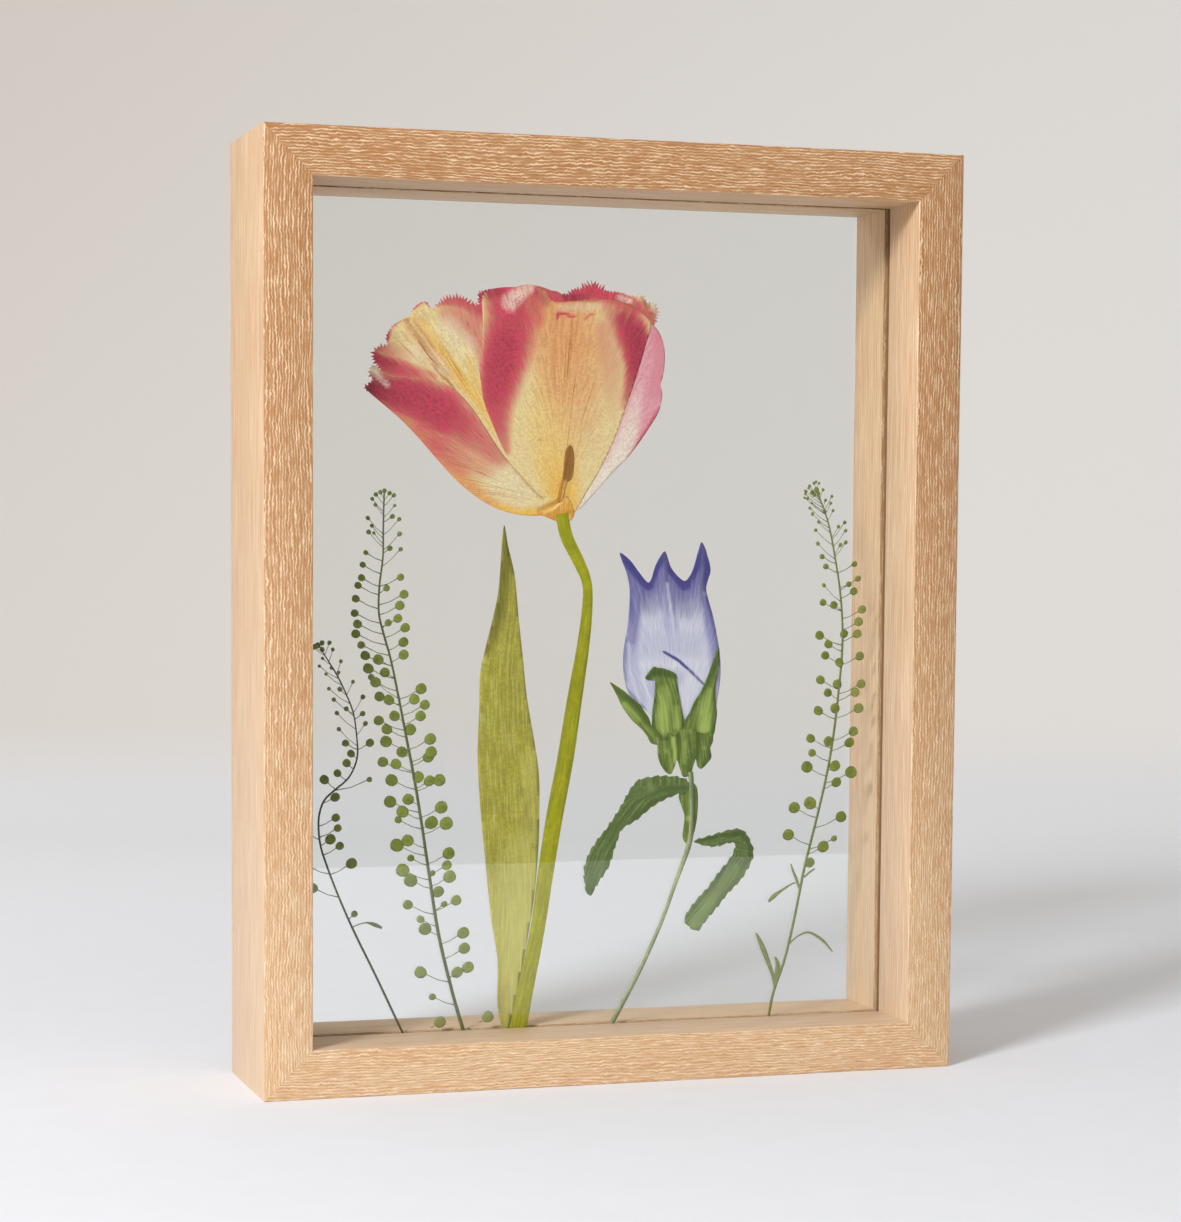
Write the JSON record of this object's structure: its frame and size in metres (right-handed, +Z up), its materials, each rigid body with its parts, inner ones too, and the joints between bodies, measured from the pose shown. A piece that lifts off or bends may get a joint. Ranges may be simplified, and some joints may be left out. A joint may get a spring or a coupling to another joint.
{
  "type": "floating frame",
  "caption": "Free-standing mitred oak box frame with dried pressed plants held between clear panes half-way through its depth.",
  "frame": {"origin": "middle of the underside, where the frame stands, half-way through its depth", "axes": "+X to the right across the front, +Y from the front to the rear, +Z up"},
  "size_m": [0.248, 0.056, 0.32],
  "materials": {
    "oak": "pale oak, smooth sanded, satin, grain along each rail",
    "glass": "clear thin picture glass, polished",
    "tape": "dark brown gummed binding, matt",
    "steel": "plain steel, hidden in the mitres",
    "petal_red": "dried petal, crimson with fine veins, matt",
    "petal_cream": "dried petal, cream and yellow to peach with crimson edges, matt",
    "petal_pink": "dried thin petal, see-through pink, matt",
    "stamen": "dried brown anther on an orange filament, matt",
    "stem_green": "dried flattened stem, yellow green with lengthwise fibres",
    "leaf_olive": "dried leaf, olive yellow green with parallel veins",
    "petal_blue": "dried bell flower, pale lilac to blue violet at the tips",
    "leaf_green": "dried leaf, dark grass green with fine veins",
    "pod_green": "dried flat round seed pods on dark thin stalks"
  },
  "bodies": {
    "root": {"bell_bract": "leaf_green", "bell_calyx": "leaf_green", "bell_corolla": "petal_blue", "bell_leaf_left": "leaf_green", "bell_leaf_right": "leaf_green", "bell_sepal_left": "leaf_green", "bell_sepal_middle": "leaf_green", "bell_sepal_right": "leaf_green", "bell_stem": "leaf_green", "edge_tape_bottom": "tape", "edge_tape_left": "tape", "edge_tape_right": "tape", "edge_tape_top": "tape", "glass_front": "glass", "glass_rear": "glass", "loose_pod_left": "pod_green", "loose_pod_right": "pod_green", "rail_bottom": "oak", "rail_top": "oak", "sprig_left": "pod_green", "sprig_middle": "pod_green", "sprig_right": "pod_green", "stile_left": "oak", "stile_right": "oak", "tulip_leaf": "leaf_olive", "tulip_petal_back_left": "petal_red", "tulip_petal_back_right": "petal_red", "tulip_petal_front": "petal_cream", "tulip_petal_inner_left": "petal_cream", "tulip_petal_low_left": "petal_red", "tulip_petal_right": "petal_pink", "tulip_receptacle": "stamen", "tulip_stamen": "stamen", "tulip_stem": "stem_green", "v_nail_bottom_left_1": "steel", "v_nail_bottom_left_2": "steel", "v_nail_bottom_right_1": "steel", "v_nail_bottom_right_2": "steel", "v_nail_top_left_1": "steel", "v_nail_top_left_2": "steel", "v_nail_top_right_1": "steel", "v_nail_top_right_2": "steel"}
  },
  "joints": []
}
